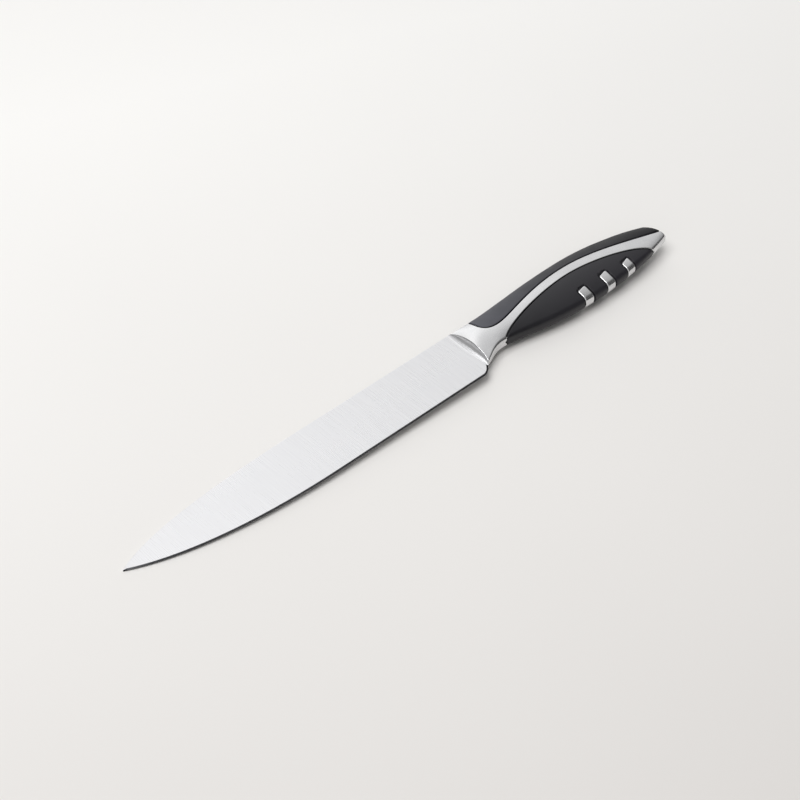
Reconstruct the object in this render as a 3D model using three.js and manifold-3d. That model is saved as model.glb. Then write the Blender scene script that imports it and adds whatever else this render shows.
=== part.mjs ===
// A slicing knife lying on its side: a forged blade whose tang is pinned into a cast steel handle frame,
// a moulded grip over the spine, a moulded grip round the belly and three steel bands let into the latter.
// Millimetres, +Z up. The pieces are drawn in the knife's own frame: x runs from the tip to the butt, with 0
// where blade and bolster meet, y runs towards the spine, with 0 at the tip, and z runs across the blade.
import * as THREE from "three";
import { mergeVertices } from "three/addons/utils/BufferGeometryUtils.js";
import Module from "manifold-3d";

// Fits
const FIT = 0.3; // gap between neighbouring pieces

// Blade
const BLADE_LENGTH = 200;
const SPINE_RISE = 12.75; // spine above the tip
const EDGE_DROP = 18.2; // cutting edge below the tip
const SPINE_THICKNESS = 2.2; // at the bolster
const EDGE_THICKNESS = 0.7; // above the bevel, at the bolster
const TIP_THICKNESS = 0.8;
const TIP_HEIGHT = 0.4;
const BEVEL_HEIGHT = 0.9;
const EDGE_LAND = 0.12; // width of the cutting edge itself
const SPINE_CURVE = 110; // curved stretch of the spine behind the tip
const SPINE_FLATTENING = 65; // how far its straight part reaches into that stretch
const SPINE_TIP_RUN = 16; // the spine leaves the tip along this run and rise
const SPINE_TIP_RISE = 8;
const EDGE_CURVE = 105;
const EDGE_FLATTENING = 45;
const EDGE_TIP_RUN = 22;
const EDGE_TIP_DROP = 11.7;
const HEEL_CUT_LENGTH = 6; // rounding taken off the heel
const HEEL_CUT_HEIGHT = 4.3;

// Shoulder where the blade swells to the bolster
const SHOULDER_LENGTH = 2.6;
const SHOULDER_END_LENGTH = 0.5; // at the spine and at the heel
const SHOULDER_LEAD = 0.8; // its hollow starts this far ahead of the bolster, inside the blade
const SHOULDER_DEPTH = 0.3; // and this far under the blade's faces

// Handle, side view. Its outlines run level at the neck and at the swell, for the stated lengths.
const NECK_X = 15.5; // waist of the spine and finger notch, behind the bolster
const NECK_RISE = 11.8;
const NECK_DROP = 8.6;
const NECK_LEVEL = 11;
const NOTCH_LEVEL = 6; // ahead of the notch
const BOLSTER_RUN = 5; // the belly leaves the heel along this run and rise
const BOLSTER_CLIMB = 1.6;
const SWELL_X = 72;
const SWELL_RISE = 14.65;
const SWELL_DROP = 15.9;
const SWELL_LEVEL = 31; // ahead of the swell
const SPINE_LEVEL = 21; // behind the swell
const BELLY_LEVEL = 23;
const BUTT_X = 128.6; // belly end of the butt
const BUTT_DROP = 7.9;
const BUTT_RISE = 2.2;
const BUTT_LEAN = 19; // degrees, spine end towards the tip
const BUTT_ROUND = 0.8; // how far the corners of its end are drawn in
const BUTT_SPINE_RUN = 16.5; // the spine meets the butt along this run and fall
const BUTT_SPINE_FALL = 8.1;
const BUTT_BELLY_RUN = 13.4;
const BUTT_BELLY_CLIMB = 4.5;

// Handle, across: each side is an arch that stands on a flat edge
const BOLSTER_THICKNESS = 7.4;
const NECK_THICKNESS = 9.8;
const SWELL_THICKNESS = 13.4;
const BUTT_THICKNESS = 7.2;
const JUNCTION_EDGE = 2.4; // flat along the spine and the belly, at the blade
const HANDLE_EDGE = 5; // the same flat at the neck and at the swell
const BUTT_EDGE = 4.2;

// Seams between frame and grips, side view
const SPINE_GRIP_X = 12.1; // front end of the spine grip
const SPINE_GRIP_CORNER = 7.4; // height and length of the round between that end and the dip
const STRAP_DIP_X = 20.5; // lowest point of the strap's upper seam, behind the bolster
const STRAP_DIP_Y = -0.2;
const STRAP_DIP_LEVEL = 9.3;
const STRAP_CREST_X = 68;
const STRAP_CREST_Y = 6.9;
const STRAP_CREST_LEVEL = 21.4;
const STRAP_END_Y = -5.05; // upper seam at the butt
const STRAP_END_RUN = 19.2; // it gets there along this run and fall
const STRAP_END_FALL = 3.45;
const STRAP_WIDTH = 6.05; // at the crest
const BELLY_GRIP_X = 18.2; // front end of the belly grip
const BELLY_GRIP_FRONT_Y = -8.2;
const BELLY_GRIP_FRONT_RUN = 4.15; // the lower seam leaves the belly along this run and rise
const BELLY_GRIP_FRONT_RISE = 3.25;
const BELLY_CREST_LEVEL = 18.3;
const BELLY_CREST_SHIFT = 2; // lower seam's crest, ahead of the upper one's
const BELLY_GRIP_SETBACK = 13.2; // rear end of the belly grip, from the butt
const BELLY_GRIP_REAR_Y = -12;
const BELLY_GRIP_REAR_RUN = 4.5; // the lower seam comes back to the belly along this run and fall
const BELLY_GRIP_REAR_FALL = 5.7;

// Bands
const BAND_COUNT = 3;
const BAND_WIDTH = 5;
const BAND_PITCH = 15;
const BAND_THICKNESS = 1.6;
const BAND_END_Y = -9.6; // upper end of each leg
const BAND_CORNER = 1;
const BAND_SLANT = 0.6; // rear corner of that end above its middle, front corner below
const REAR_BAND_SETBACK = 18.6; // rear band's middle, from the rear end of the belly grip

// Tang, inner web and pins
const TANG_THICKNESS = 2.2;
const TANG_HEIGHT = 8;
const TANG_Y = 0.3; // middle of the tang at the bolster
const TANG_FALL = 3; // how much lower it ends
const TANG_SETBACK = 31; // end of the tang, from the butt
const WEB_THICKNESS = 5.2;
const WEB_WALL = 2; // steel round the tang, above, below and behind
const PIN_DIAMETER = 3;
const PIN_COVER = 0.4; // pin hole below the strap's lower seam
const FRONT_PIN_X = 45;
const REAR_PIN_SETBACK = 10; // from the end of the tang

// Facets
const CURVE_STEPS = 12;
const BLADE_STATIONS = 30;
const HANDLE_STATIONS = 36;
const SECTION_STEPS = 10;
const SHOULDER_STEPS = 6;
const PIN_SIDES = 24;

const FAR = 40; // past the knife, sideways

const wasm = await Module();
wasm.setup();

// Solids
function solid(geometry) {
  const bare = geometry.clone();
  bare.deleteAttribute("normal");
  bare.deleteAttribute("uv");
  const merged = mergeVertices(bare, 1e-4);
  return new wasm.Manifold(
    new wasm.Mesh({
      numProp: 3,
      vertProperties: new Float32Array(merged.attributes.position.array),
      triVerts: new Uint32Array(merged.index.array),
    }),
  );
}

function geometryOf(body) {
  const mesh = body.getMesh();
  const geometry = new THREE.BufferGeometry();
  geometry.setAttribute("position", new THREE.BufferAttribute(mesh.vertProperties, 3));
  geometry.setIndex(new THREE.BufferAttribute(mesh.triVerts, 1));
  return geometry;
}

// Skin over rings of equal length, each a convex loop, closed with a fan at both ends.
function loft(rings) {
  const count = rings[0].length;
  const index = [];
  for (let r = 0; r + 1 < rings.length; r++) {
    for (let i = 0; i < count; i++) {
      const a = r * count + i;
      const b = r * count + ((i + 1) % count);
      index.push(a, b, b + count, a, b + count, a + count);
    }
  }
  const last = (rings.length - 1) * count;
  for (let i = 1; i + 1 < count; i++) {
    index.push(0, i + 1, i);
    index.push(last, last + i, last + i + 1);
  }
  const geometry = new THREE.BufferGeometry().setFromPoints(rings.flat());
  geometry.setIndex(index);
  return solid(geometry);
}

// Loop through one side of a section and its mirror image.
function bothSides(side) {
  const mirrored = side.map((p) => new THREE.Vector3(p.x, p.y, -p.z)).reverse();
  return [...side, ...mirrored].reverse();
}

// Side-view outline made into a slab across the knife.
function slab(shape, thickness) {
  const geometry = new THREE.ExtrudeGeometry(shape, {
    depth: thickness,
    bevelEnabled: false,
    curveSegments: CURVE_STEPS,
  });
  geometry.translate(0, 0, -thickness / 2);
  return solid(geometry);
}

function pinAt(x, y, diameter, length) {
  const geometry = new THREE.CylinderGeometry(diameter / 2, diameter / 2, length, PIN_SIDES);
  geometry.rotateX(Math.PI / 2);
  geometry.translate(x, y, 0);
  return solid(geometry);
}

// Height of a side-view line at x. The line is straight past its ends.
function heightAlong(curve) {
  const points = curve.getPoints(CURVE_STEPS);
  return (x) => {
    let i = points.findIndex((point) => point.x > x);
    if (i < 0) i = points.length - 1;
    const a = points[Math.max(i - 1, 0)];
    const b = points[Math.max(i, 1)];
    return a.y + ((b.y - a.y) * (x - a.x)) / (b.x - a.x);
  };
}

const lineThrough = (...points) =>
  heightAlong(new THREE.SplineCurve(points.map(([x, y]) => new THREE.Vector2(x, y))));

// Polyline moved sideways, to the left of its own direction where the distance is positive.
function moved(points, distance) {
  return points.map((point, i) => {
    const before = points[Math.max(i - 1, 0)];
    const after = points[Math.min(i + 1, points.length - 1)];
    const along = new THREE.Vector2().subVectors(after, before).normalize();
    return new THREE.Vector2(point.x - along.y * distance, point.y + along.x * distance);
  });
}

// Blade lines
const tipX = -BLADE_LENGTH;
const spineLine = heightAlong(
  new THREE.Path()
    .moveTo(tipX, TIP_HEIGHT / 2)
    .bezierCurveTo(
      tipX + SPINE_TIP_RUN,
      SPINE_TIP_RISE,
      tipX + SPINE_CURVE - SPINE_FLATTENING,
      SPINE_RISE,
      tipX + SPINE_CURVE,
      SPINE_RISE,
    )
    .lineTo(FAR, SPINE_RISE),
);
const edgeLine = heightAlong(
  new THREE.Path()
    .moveTo(tipX, -TIP_HEIGHT / 2)
    .bezierCurveTo(
      tipX + EDGE_TIP_RUN,
      -EDGE_TIP_DROP,
      tipX + EDGE_CURVE - EDGE_FLATTENING,
      -EDGE_DROP,
      tipX + EDGE_CURVE,
      -EDGE_DROP,
    )
    .lineTo(FAR, -EDGE_DROP),
);
const heelY = HEEL_CUT_HEIGHT - EDGE_DROP;

// Each side of the blade is one plane: thickest at the bolster's spine, thinner to the edge and to the tip.
const edgeTaper = (SPINE_THICKNESS - EDGE_THICKNESS) / 2 / (SPINE_RISE + EDGE_DROP - BEVEL_HEIGHT);
const axisHalf = SPINE_THICKNESS / 2 - edgeTaper * SPINE_RISE;
const tipTaper = (axisHalf - TIP_THICKNESS / 2) / BLADE_LENGTH;
const bladeHalf = (x, y) => axisHalf + edgeTaper * y + tipTaper * x;

// Handle lines
const topLine = heightAlong(
  new THREE.Path()
    .moveTo(0, SPINE_RISE)
    .quadraticCurveTo(NECK_X / 2, NECK_RISE, NECK_X, NECK_RISE)
    .bezierCurveTo(NECK_X + NECK_LEVEL, NECK_RISE, SWELL_X - SWELL_LEVEL, SWELL_RISE, SWELL_X, SWELL_RISE)
    .bezierCurveTo(
      SWELL_X + SPINE_LEVEL,
      SWELL_RISE,
      BUTT_X - BUTT_SPINE_RUN,
      BUTT_RISE + BUTT_SPINE_FALL,
      BUTT_X,
      BUTT_RISE,
    ),
);
const bellyLine = heightAlong(
  new THREE.Path()
    .moveTo(0, heelY)
    .bezierCurveTo(BOLSTER_RUN, heelY + BOLSTER_CLIMB, NECK_X - NOTCH_LEVEL, -NECK_DROP, NECK_X, -NECK_DROP)
    .bezierCurveTo(NECK_X + NECK_LEVEL, -NECK_DROP, SWELL_X - SWELL_LEVEL, -SWELL_DROP, SWELL_X, -SWELL_DROP)
    .bezierCurveTo(
      SWELL_X + BELLY_LEVEL,
      -SWELL_DROP,
      BUTT_X - BUTT_BELLY_RUN,
      -BUTT_DROP - BUTT_BELLY_CLIMB,
      BUTT_X,
      -BUTT_DROP,
    ),
);
const halfLine = lineThrough(
  [0, BOLSTER_THICKNESS / 2],
  [NECK_X, NECK_THICKNESS / 2],
  [SWELL_X, SWELL_THICKNESS / 2],
  [BUTT_X, BUTT_THICKNESS / 2],
);
const flatLine = lineThrough(
  [0, JUNCTION_EDGE / 2],
  [NECK_X, HANDLE_EDGE / 2],
  [SWELL_X, HANDLE_EDGE / 2],
  [BUTT_X, BUTT_EDGE / 2],
);

// Section of the handle at x, drawn in by the inset.
function sectionAt(x, inset) {
  const top = topLine(x) - inset;
  const bottom = bellyLine(x) + inset;
  const flat = Math.max(flatLine(x) - inset, FIT);
  const half = halfLine(x) - inset;
  return { middle: (top + bottom) / 2, reach: (top - bottom) / 2, flat, arch: half - flat };
}

function handleHalf(x, y) {
  const s = sectionAt(x, 0);
  const v = THREE.MathUtils.clamp((y - s.middle) / s.reach, -1, 1);
  return s.flat + s.arch * (1 - v * v);
}

function handleBody(inset) {
  const start = -NECK_X / 2;
  const end = BUTT_X + NECK_X / 2;
  const rings = [];
  for (let i = 0; i <= HANDLE_STATIONS; i++) {
    const x = start + ((end - start) * i) / HANDLE_STATIONS;
    const s = sectionAt(x, inset);
    const side = [];
    for (let j = 0; j <= SECTION_STEPS; j++) {
      const v = (2 * j) / SECTION_STEPS - 1;
      side.push(new THREE.Vector3(x, s.middle + s.reach * v, s.flat + s.arch * (1 - v * v)));
    }
    rings.push(bothSides(side));
  }
  return loft(rings);
}

// Ridge where shoulder and bolster meet.
const ridgeMiddle = (SPINE_RISE + heelY) / 2;
const ridgeReach = (SPINE_RISE - heelY) / 2;
function ridge(y) {
  const v = THREE.MathUtils.clamp((y - ridgeMiddle) / ridgeReach, -1, 1);
  const bulge = Math.sqrt(1 - v * v) * (SHOULDER_LENGTH - SHOULDER_END_LENGTH);
  return SHOULDER_END_LENGTH + bulge;
}
const ridgePoints = [];
for (let j = 0; j <= 2 * SECTION_STEPS; j++) {
  const y = ridgeMiddle + ridgeReach * Math.sin(Math.PI * (j / (2 * SECTION_STEPS) - 0.5));
  ridgePoints.push(new THREE.Vector2(ridge(y), y));
}

// Seams
const bellyCrestX = STRAP_CREST_X - BELLY_CREST_SHIFT;
const bellyCrestY = STRAP_CREST_Y - STRAP_WIDTH;
const bellyGripEnd = BUTT_X - BELLY_GRIP_SETBACK;
const spineSeam = new THREE.Path()
  .moveTo(SPINE_GRIP_X, FAR)
  .lineTo(SPINE_GRIP_X, STRAP_DIP_Y + SPINE_GRIP_CORNER)
  .quadraticCurveTo(SPINE_GRIP_X, STRAP_DIP_Y, STRAP_DIP_X, STRAP_DIP_Y)
  .bezierCurveTo(
    STRAP_DIP_X + STRAP_DIP_LEVEL,
    STRAP_DIP_Y,
    STRAP_CREST_X - STRAP_CREST_LEVEL,
    STRAP_CREST_Y,
    STRAP_CREST_X,
    STRAP_CREST_Y,
  )
  .bezierCurveTo(
    STRAP_CREST_X + STRAP_CREST_LEVEL,
    STRAP_CREST_Y,
    BUTT_X - STRAP_END_RUN,
    STRAP_END_Y + STRAP_END_FALL,
    BUTT_X,
    STRAP_END_Y,
  )
  .lineTo(BUTT_X + STRAP_END_RUN, STRAP_END_Y - STRAP_END_FALL)
  .getPoints(CURVE_STEPS);
const bellySeam = new THREE.Path()
  .moveTo(BELLY_GRIP_X, -FAR)
  .lineTo(BELLY_GRIP_X, BELLY_GRIP_FRONT_Y)
  .bezierCurveTo(
    BELLY_GRIP_X + BELLY_GRIP_FRONT_RUN,
    BELLY_GRIP_FRONT_Y + BELLY_GRIP_FRONT_RISE,
    bellyCrestX - BELLY_CREST_LEVEL,
    bellyCrestY,
    bellyCrestX,
    bellyCrestY,
  )
  .bezierCurveTo(
    bellyCrestX + BELLY_CREST_LEVEL,
    bellyCrestY,
    bellyGripEnd - BELLY_GRIP_REAR_RUN,
    BELLY_GRIP_REAR_Y + BELLY_GRIP_REAR_FALL,
    bellyGripEnd,
    BELLY_GRIP_REAR_Y,
  )
  .lineTo(bellyGripEnd, -FAR)
  .getPoints(CURVE_STEPS);

function aboveSpineSeam(distance) {
  const line = moved(spineSeam, distance);
  return slab(new THREE.Shape([...line, new THREE.Vector2(BUTT_X + STRAP_END_RUN, FAR)]), FAR);
}
const belowBellySeam = (distance) => slab(new THREE.Shape(moved(bellySeam, -distance)), FAR);

// The handle from the ridge to the leaning, rounded end of the butt.
const buttLean = Math.tan(THREE.MathUtils.degToRad(BUTT_LEAN));
const buttTop = topLine(BUTT_X - 2 * BUTT_ROUND);
const buttPoints = [];
for (let j = 0; j <= SECTION_STEPS; j++) {
  const v = Math.cos((Math.PI * j) / SECTION_STEPS);
  const y = THREE.MathUtils.lerp(-BUTT_DROP, buttTop, (1 + v) / 2);
  const round = BUTT_ROUND * (1 - Math.sqrt(1 - v * v));
  buttPoints.push(new THREE.Vector2(BUTT_X - buttLean * (y + BUTT_DROP) - round, y));
}
const handleExtent = slab(
  new THREE.Shape([
    new THREE.Vector2(ridge(-FAR) + FIT, -FAR),
    ...ridgePoints.map((p) => new THREE.Vector2(p.x + FIT, p.y)),
    new THREE.Vector2(ridge(FAR) + FIT, FAR),
    new THREE.Vector2(buttPoints[0].x, FAR),
    ...buttPoints,
    new THREE.Vector2(buttPoints[SECTION_STEPS].x, -FAR),
  ]),
  FAR,
);
const handle = handleBody(0).intersect(handleExtent);

// Tang and the web of steel round it.
const tangEnd = BUTT_X - TANG_SETBACK;
function tangShape(grow, start) {
  const end = tangEnd + grow;
  const middleAt = (x) => TANG_Y - (TANG_FALL * x) / tangEnd;
  const half = TANG_HEIGHT / 2 + grow;
  return new THREE.Shape([
    new THREE.Vector2(start, middleAt(start) - half),
    new THREE.Vector2(end, middleAt(end) - half),
    new THREE.Vector2(end, middleAt(end) + half),
    new THREE.Vector2(start, middleAt(start) + half),
  ]);
}
const pinPlaces = [FRONT_PIN_X, tangEnd - REAR_PIN_SETBACK].map((x) => {
  const seam = bellySeam.find((point) => point.x > x);
  return new THREE.Vector2(x, seam.y - PIN_COVER - FIT - PIN_DIAMETER / 2);
});
const drilled = (body) =>
  pinPlaces.reduce(
    (rest, { x, y }) => rest.subtract(pinAt(x, y, PIN_DIAMETER + 2 * FIT, WEB_THICKNESS + 2 * FIT)),
    body,
  );

function makeBlade() {
  const rings = [];
  for (let i = 0; i <= BLADE_STATIONS; i++) {
    const share = i / BLADE_STATIONS;
    const x = tipX + (BLADE_LENGTH + FAR) * share * share;
    const spine = spineLine(x);
    const edge = edgeLine(x);
    const shoulder = edge + Math.min(BEVEL_HEIGHT, (spine - edge) / 2);
    const side = [
      new THREE.Vector3(x, edge, EDGE_LAND / 2),
      new THREE.Vector3(x, shoulder, bladeHalf(x, shoulder)),
      new THREE.Vector3(x, spine, bladeHalf(x, spine)),
    ];
    rings.push(bothSides(side));
  }
  const outline = new THREE.Shape();
  outline.moveTo(tipX - FIT, -FAR);
  outline.lineTo(-HEEL_CUT_LENGTH, -FAR);
  outline.lineTo(-HEEL_CUT_LENGTH, -EDGE_DROP);
  outline.quadraticCurveTo(-HEEL_CUT_LENGTH / 2, -EDGE_DROP, SHOULDER_END_LENGTH / 2, heelY);
  outline.lineTo(SHOULDER_END_LENGTH / 2, FAR);
  outline.lineTo(tipX - FIT, FAR);
  const plate = loft(rings).intersect(slab(outline, FAR));
  const tang = slab(tangShape(0, SHOULDER_LENGTH / 2), TANG_THICKNESS);
  return drilled(plate.add(makeShoulder()).add(tang));
}

// The concave shoulder: rings from the blade's own faces to the ridge, along a quarter of an ellipse.
function makeShoulder() {
  const rings = [];
  for (let i = 0; i <= SHOULDER_STEPS; i++) {
    const turn = (Math.PI / 2) * (i / SHOULDER_STEPS);
    const side = ridgePoints.map(({ y }) => {
      const x = THREE.MathUtils.lerp(-SHOULDER_LEAD, ridge(y), Math.sin(turn));
      const start = bladeHalf(0, y) - SHOULDER_DEPTH;
      const z = THREE.MathUtils.lerp(start, handleHalf(ridge(y), y), 1 - Math.cos(turn));
      return new THREE.Vector3(x, y, z);
    });
    rings.push(bothSides(side));
  }
  return loft(rings);
}

function makeFrame() {
  const casting = handle.subtract(aboveSpineSeam(-FIT / 2)).subtract(belowBellySeam(-FIT / 2));
  const web = slab(tangShape(WEB_WALL, NECK_X / 2), WEB_THICKNESS);
  const slot = slab(tangShape(FIT, -NECK_X), TANG_THICKNESS + 2 * FIT);
  return drilled(casting.add(web).subtract(slot));
}

const webRoom = slab(tangShape(WEB_WALL + FIT, 0), WEB_THICKNESS + 2 * FIT);

const makeSpineGrip = () => handle.intersect(aboveSpineSeam(FIT / 2)).subtract(webRoom);

// A band, or the groove that it lies in, is a skin of the handle inside a round-cornered strip.
const bandMiddle = (i) => bellyGripEnd - REAR_BAND_SETBACK - (BAND_COUNT - 1 - i) * BAND_PITCH;
function bandStrip(i, outer, depth, grow) {
  const left = bandMiddle(i) - BAND_WIDTH / 2 - grow;
  const right = bandMiddle(i) + BAND_WIDTH / 2 + grow;
  const top = BAND_END_Y + grow;
  const corner = BAND_CORNER + grow;
  const shape = new THREE.Shape();
  shape.moveTo(left, -FAR);
  shape.lineTo(right, -FAR);
  shape.absarc(right - corner, top + BAND_SLANT - corner, corner, 0, Math.PI / 2);
  shape.absarc(left + corner, top - BAND_SLANT - corner, corner, Math.PI / 2, Math.PI);
  return outer.subtract(handleBody(depth)).intersect(slab(shape, FAR));
}

function makeBellyGrip() {
  let grip = handle.intersect(belowBellySeam(FIT / 2)).subtract(webRoom);
  const around = handleBody(-FIT);
  for (let i = 0; i < BAND_COUNT; i++) {
    grip = grip.subtract(bandStrip(i, around, BAND_THICKNESS + FIT, FIT));
  }
  return grip;
}

// Materials
const satinSteel = new THREE.MeshStandardMaterial({ color: 0xd6d7db, roughness: 0.32, metalness: 1 });
const polishedSteel = new THREE.MeshStandardMaterial({ color: 0xdcdbdb, roughness: 0.16, metalness: 1 });
const pinSteel = new THREE.MeshStandardMaterial({ color: 0xb9bbbf, roughness: 0.3, metalness: 1 });
const blackPlastic = new THREE.MeshStandardMaterial({ color: 0x2b2c30, roughness: 0.45, metalness: 0 });

const knife = new THREE.Group();
function place(name, body, material) {
  const mesh = new THREE.Mesh(geometryOf(body), material);
  mesh.name = name;
  knife.add(mesh);
}

place("blade", makeBlade(), satinSteel);
place("handle_frame", makeFrame(), polishedSteel);
place("spine_grip", makeSpineGrip(), blackPlastic);
place("belly_grip", makeBellyGrip(), blackPlastic);
["front_band", "middle_band", "rear_band"].forEach((name, i) => {
  place(name, bandStrip(i, handleBody(0), BAND_THICKNESS, 0), polishedSteel);
});
["front_tang_pin", "rear_tang_pin"].forEach((name, i) => {
  place(name, pinAt(pinPlaces[i].x, pinPlaces[i].y, PIN_DIAMETER, WEB_THICKNESS), pinSteel);
});

// The knife lies on its tip and on the swell of its handle.
let slope = 0;
knife.traverse((piece) => {
  if (!piece.isMesh) return;
  const point = new THREE.Vector3();
  const points = piece.geometry.attributes.position;
  for (let i = 0; i < points.count; i++) {
    point.fromBufferAttribute(points, i);
    if (point.x > 0) slope = Math.max(slope, (-TIP_THICKNESS / 2 - point.z) / (point.x - tipX));
  }
});
knife.rotation.y = -Math.atan(slope);
const box = new THREE.Box3().setFromObject(knife, true);
const middle = box.getCenter(new THREE.Vector3());
knife.position.set(-middle.x, -middle.y, -box.min.z);

const group = new THREE.Group();
group.add(knife);
export default group;
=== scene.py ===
import math

import bpy
import numpy as np
from mathutils import Matrix, Vector
from mathutils.kdtree import KDTree


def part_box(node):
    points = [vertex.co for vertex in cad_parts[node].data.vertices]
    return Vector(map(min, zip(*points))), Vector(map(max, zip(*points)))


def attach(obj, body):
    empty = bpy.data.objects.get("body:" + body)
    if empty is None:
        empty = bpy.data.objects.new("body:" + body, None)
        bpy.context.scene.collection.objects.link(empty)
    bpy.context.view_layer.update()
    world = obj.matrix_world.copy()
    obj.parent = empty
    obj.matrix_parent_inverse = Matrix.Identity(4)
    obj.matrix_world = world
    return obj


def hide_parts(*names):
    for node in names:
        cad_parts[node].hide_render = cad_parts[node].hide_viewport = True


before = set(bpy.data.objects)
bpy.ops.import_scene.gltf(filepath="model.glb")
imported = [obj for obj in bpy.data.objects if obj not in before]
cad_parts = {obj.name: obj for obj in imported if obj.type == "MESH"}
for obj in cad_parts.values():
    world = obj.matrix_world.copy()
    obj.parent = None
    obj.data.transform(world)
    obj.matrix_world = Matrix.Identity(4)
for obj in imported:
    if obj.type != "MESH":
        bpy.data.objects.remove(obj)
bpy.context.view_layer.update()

# Sizes of the knife in its own frame, in millimetres:
# x is 0 where the blade meets the bolster and grows towards the butt,
# y grows towards the spine, z goes across.

MM = 0.001

BLADE_LENGTH = 200
BLADE_TOP_Y = 12.75
EDGE_Y = -18.2
HEEL_Y = -13.9
HEEL_X = 0.25
HEEL_REACH = 6
TIP_REACH = 4
TIP_HALF = 0.4

# Half of the blade's thickness at the origin, and how it falls off along y and x
BLADE_HALF = 0.78178
BLADE_TAPER_Y = 0.024958
BLADE_TAPER_X = 0.0019089

# The cutting bevel's height, the flat left on its edge, and the rounding of the blade's back
BEVEL = 0.9
BEVEL_SHARE = 0.45
LAND = 0.06
SPINE_ROUND = 0.22
SPINE_ROUND_SHARE = 0.2

# The bolster's front edge is half an ellipse
RIDGE_X = 0.5
RIDGE_BULGE = 2.1
RIDGE_MIDDLE_Y = -0.575
RIDGE_REACH = 13.325
RIDGE_GAP = 0.18
RIDGE_ROLL = 0.25
RIDGE_FADE = 9

# The hollow shoulder between the blade's side and the ridge
HOLLOW_FOOT = 0.35
HOLLOW_REACH = 1.5
HOLLOW_STEEP = math.radians(75)

BUTT_X = 128.6
BUTT_FOOT_Y = -7.9
BUTT_LEAN = math.radians(19)
BUTT_ROUND = 0.8
BUTT_ROLL = 0.75
BUTT_TOP_AT = 127.0
BUTT_LOW_AT = 127.8

SEAM_HALF = 0.33
SEAM_ROLL = 0.38
FRONT_BULGE = 0.8
REAR_BULGE = 1.3
SHELL = 0.85
CORE_DEPTH = 1.3
CORE_FRONT = 15.5
CORE_REAR = 122

# Each band's node, the x of its middle and the y of its upper end
BANDS = (("front_band", 66.5, -9.8), ("middle_band", 81.9, -9.0), ("rear_band", 97.3, -9.2))
BAND_WIDTH = 5.4
BAND_CORNER = 0.9
BAND_GAP = 0.75
BAND_SLOPE = 0.14
BAND_LEAN = 0.08
BAND_PIVOT_Y = -13.5
BAND_ROLL = 0.6
BAND_PROUD = 0.05
GROOVE_DEPTH = 0.9
GROOVE_ROLL = 0.2

# Steps of the meshes
CURVE_STEPS = 160
LEAN_STEPS = 4
WELD_DIGITS = 4
WRAP_STEPS = 6
BLADE_WRAP_STEPS = 4
CREASE = 30
BLADE_CREASE = 16
FINE = np.array([0, 0.0025, 0.006, 0.0105, 0.0165, 0.025, 0.04, 0.065])
FINE_STEPS = np.array([0, 0.05, 0.11, 0.18, 0.26, 0.36, 0.5, 0.75, 1.1])
FINE_SHARE = 0.4
GROOVE_STEPS = (-0.06, 0, 0.06, 0.13, 0.22, 0.34)
LOWER_COLS = np.concatenate(
    [np.linspace(0, 0.8, 26), [0.86, 0.9, 0.93, 0.955, 0.975, 0.99, 1.0]]
)
UPPER_COLS = np.concatenate(
    [
        [0.006, 0.015, 0.028, 0.045, 0.07],
        np.linspace(0.12, 0.9, 20),
        [0.93, 0.955, 0.97, 0.98, 0.988, 0.995, 1],
    ]
)
SPINE_COLS = np.concatenate([FINE, np.linspace(0.1, 1, 60)])
STRAP_COLS = np.concatenate([FINE, np.linspace(0.1, 0.9, 36), 1 - FINE[::-1]])
BOLSTER_COLS = np.concatenate([FINE, np.linspace(0.1, 1, 30)])[1:]
BELLY_ROWS, BULGE_ROWS = 190, 8
CORE_ROWS, CORE_COLS = 90, 61
SPINE_ROWS = 230
NECK_ROWS, END_ROWS, SEAM_ROWS, BUTT_ROWS = 14, 24, 240, 24
BOLSTER_ROWS = 34
BAND_ROWS, BAND_UNDER_COLS, BAND_SIDE_COLS = 10, 8, 24
BLADE_ROWS, TIP_ROWS, HEEL_ROWS, HOLLOW_ROWS = 150, 12, 24, 40
BLADE_COLS, SPINE_ROUND_COLS = 56, 6
MIRROR = np.array([1, 1, -1])

# Where the strap's runs of rows end on the spine seam: two lengths, and a share of what is left
NECK_ON_SEAM = 6
FRONT_ON_SEAM = 8
REAR_ON_SEAM = 0.15
BUTT_FADE = 1.5

# How many points the lines have along which edges are rolled
SEAM_POINTS = 3000
END_POINTS = 300
OVER_SPINE_POINTS = 200
RIDGE_POINTS = 800
BUTT_POINTS = 600
BAND_SIDE_POINTS = 500
BAND_END_POINTS = 300

# The skin's coordinate q: 0 to 1 under the belly, to 2 round its edge, to 3 up the side,
# to 4 round the spine's edge, to 5 over the spine
BELLY_EDGE_Q = 1
SIDE_Q = 2
SPINE_EDGE_Q = 4
LAST_Q = 5


def bezier(points, count=CURVE_STEPS):
    t = np.linspace(0.0, 1.0, count)[:, None]
    row = [np.array(p, dtype=float)[None, :] for p in points]
    while len(row) > 1:
        row = [a * (1 - t) + b * t for a, b in zip(row, row[1:])]
    return row[0]


def path(*runs):
    """Bezier runs joined end to end."""
    pieces = [bezier(runs[0])]
    for run in runs[1:]:
        pieces.append(bezier(run)[1:])
    return np.concatenate(pieces)


def catmull(points, count=CURVE_STEPS):
    """A smooth curve through the points."""
    points = [np.array(p, dtype=float) for p in points]
    last = len(points) - 1
    t = np.linspace(0.0, 1.0, count)[1:, None]
    out = [points[0][None, :]]
    for i in range(last):
        p0, p1, p2, p3 = (points[min(max(k, 0), last)] for k in (i - 1, i, i + 1, i + 2))
        v1, v2 = (p2 - p0) / 2, (p3 - p1) / 2
        cubic = 2 * p1 - 2 * p2 + v1 + v2
        square = -3 * p1 + 3 * p2 - 2 * v1 - v2
        out.append(cubic * t**3 + square * t**2 + v1 * t + p1)
    return np.concatenate(out)


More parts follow.
